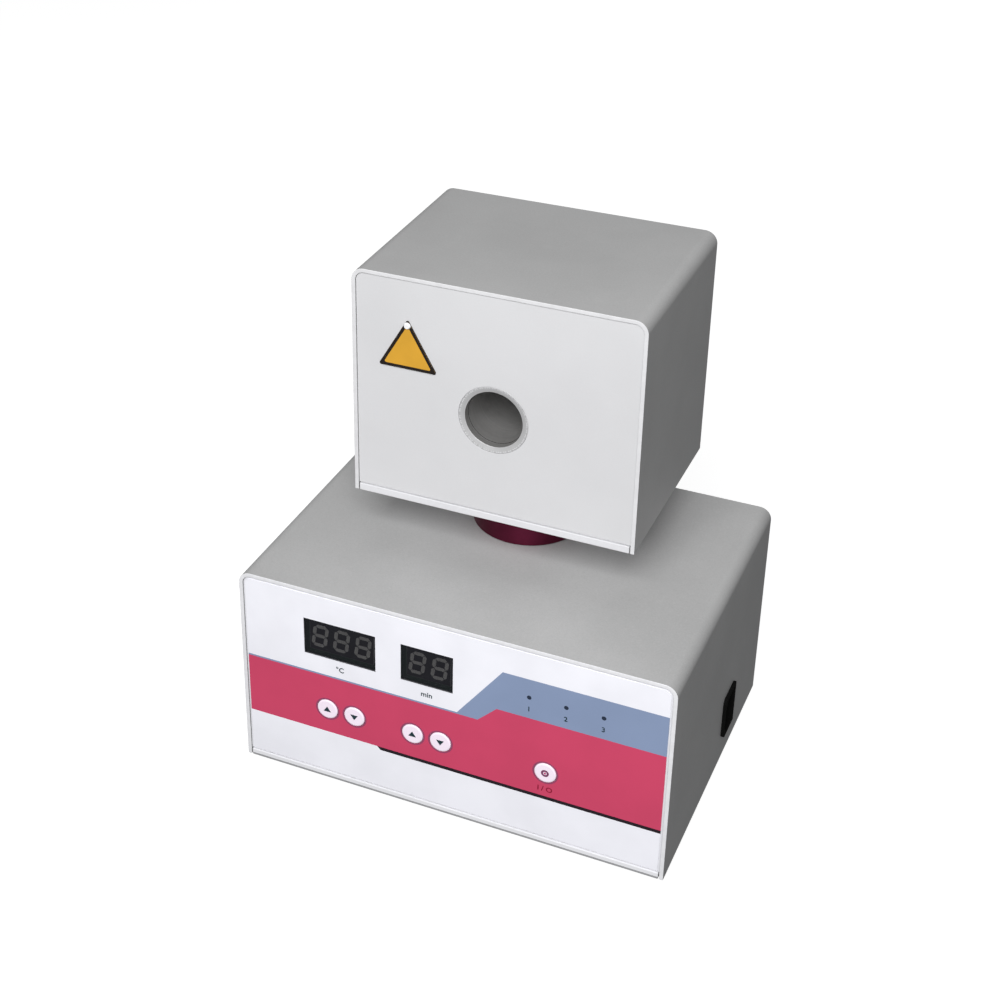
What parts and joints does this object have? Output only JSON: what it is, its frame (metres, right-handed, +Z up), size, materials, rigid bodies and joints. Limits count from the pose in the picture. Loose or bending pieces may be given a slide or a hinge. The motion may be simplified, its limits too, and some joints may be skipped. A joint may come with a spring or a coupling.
{
  "type": "denture injection molding machine",
  "caption": "Bench furnace for denture resin cartridges: a control box with digit displays and keys, and a furnace head with a round bore that turns on a column.",
  "frame": {"origin": "on the surface the machine stands on, under the middle of the control box", "axes": "+Z up, -Y out of the front with the displays and the furnace bore, +X to the right of someone who faces the front"},
  "size_m": [0.2458, 0.1782, 0.2935],
  "materials": {
    "cover_grey": "fine-grained satin grey powder coat, pale at the cut front edge",
    "tray_pale": "satin pale grey powder coat",
    "panel_white": "satin white powder coat",
    "printed_film": "screen-printed film with white, red, blue-grey and black fields",
    "smoke_lens": "smoked clear plastic",
    "display_grey": "black display case with dark unlit segments",
    "key_white": "satin white",
    "black_plastic": "black moulded plastic",
    "lamp_red": "dark tinted lamp, unlit",
    "board_green": "green solder mask",
    "steel": "zinc-plated steel",
    "rubber_black": "soft black rubber",
    "nylon_pale": "natural nylon",
    "transformer_iron": "varnished iron core",
    "relay_blue": "blue relay case",
    "fuse_black": "black clips and a glass fuse",
    "terminal_green": "green terminal block",
    "column_maroon": "glossy maroon, turned",
    "nut_brass": "plain brass",
    "mouth_pale": "pale fired ceramic",
    "block_dark": "heat-darkened turned aluminium",
    "heater_band": "heat-tinted steel sheath",
    "fibre_white": "ceramic fibre felt",
    "ceramic_white": "steatite ceramic",
    "loom_sleeve": "braided glass-fibre sleeve",
    "tag_amber": "amber enamel, blank",
    "rivet_alu": "bright aluminium"
  },
  "bodies": {
    "base": {"base_cover": "cover_grey", "base_tray": "tray_pale", "base_front_panel": "panel_white", "base_back_panel": "tray_pale", "base_feet": "rubber_black", "foot_screws": "steel", "base_screws": "steel", "base_nuts": "steel", "front_film": "printed_film", "temperature_window": "smoke_lens", "time_window": "smoke_lens", "temperature_display": "display_grey", "time_display": "display_grey", "key_switches": "black_plastic", "indicator_lamps": "lamp_red", "control_board": "board_green", "board_spacers": "steel", "board_screws": "steel", "mains_inlet": "black_plastic", "inlet_pins": "steel", "power_board": "board_green", "power_board_spacers": "nylon_pale", "mains_transformer": "transformer_iron", "heater_relay": "relay_blue", "fuse_holder": "fuse_black", "loom_terminal": "terminal_green", "swivel_column": "column_maroon", "column_plate": "steel", "column_screws": "steel"},
    "head": {"head_cover": "cover_grey", "head_tray": "tray_pale", "head_front_panel": "panel_white", "head_back_panel": "tray_pale", "head_screws": "steel", "head_nuts": "steel", "mouth_ring": "mouth_pale", "heating_block": "block_dark", "band_heaters": "heater_band", "band_screws": "steel", "insulation_sleeve": "fibre_white", "block_brackets": "steel", "bracket_screws": "steel", "temperature_probe": "steel", "thermal_cutout": "ceramic_white", "heater_terminal": "ceramic_white", "heater_loom": "loom_sleeve", "tag_plate": "tag_amber", "tag_rivet": "rivet_alu", "swivel_spindle": "steel", "spindle_screws": "steel", "thrust_washer": "nylon_pale", "spring_washer": "steel", "spindle_nut": "nut_brass", "stop_pin": "steel"},
    "key_temperature_up": {"key_temperature_up": "key_white"},
    "key_temperature_down": {"key_temperature_down": "key_white"},
    "key_time_up": {"key_time_up": "key_white"},
    "key_time_down": {"key_time_down": "key_white"},
    "key_power": {"key_power": "key_white"}
  },
  "joints": [
    {"name": "head_swivel", "type": "hinge", "parent": "base", "child": "head", "pos_m": [0, 0.026, 0.1627], "axis": [0, 0, 1], "range_deg": [-90, 90]},
    {"name": "key_temperature_up_press", "type": "slide", "parent": "base", "child": "key_temperature_up", "axis": [0, 1, 0], "range_m": [0, 0.0005], "stiffness_N_per_m": 3000, "springref_m": -0.0002},
    {"name": "key_temperature_down_press", "type": "slide", "parent": "base", "child": "key_temperature_down", "axis": [0, 1, 0], "range_m": [0, 0.0005], "stiffness_N_per_m": 3000, "springref_m": -0.0002},
    {"name": "key_time_up_press", "type": "slide", "parent": "base", "child": "key_time_up", "axis": [0, 1, 0], "range_m": [0, 0.0005], "stiffness_N_per_m": 3000, "springref_m": -0.0002},
    {"name": "key_time_down_press", "type": "slide", "parent": "base", "child": "key_time_down", "axis": [0, 1, 0], "range_m": [0, 0.0005], "stiffness_N_per_m": 3000, "springref_m": -0.0002},
    {"name": "key_power_press", "type": "slide", "parent": "base", "child": "key_power", "axis": [0, 1, 0], "range_m": [0, 0.0005], "stiffness_N_per_m": 3000, "springref_m": -0.0002}
  ]
}
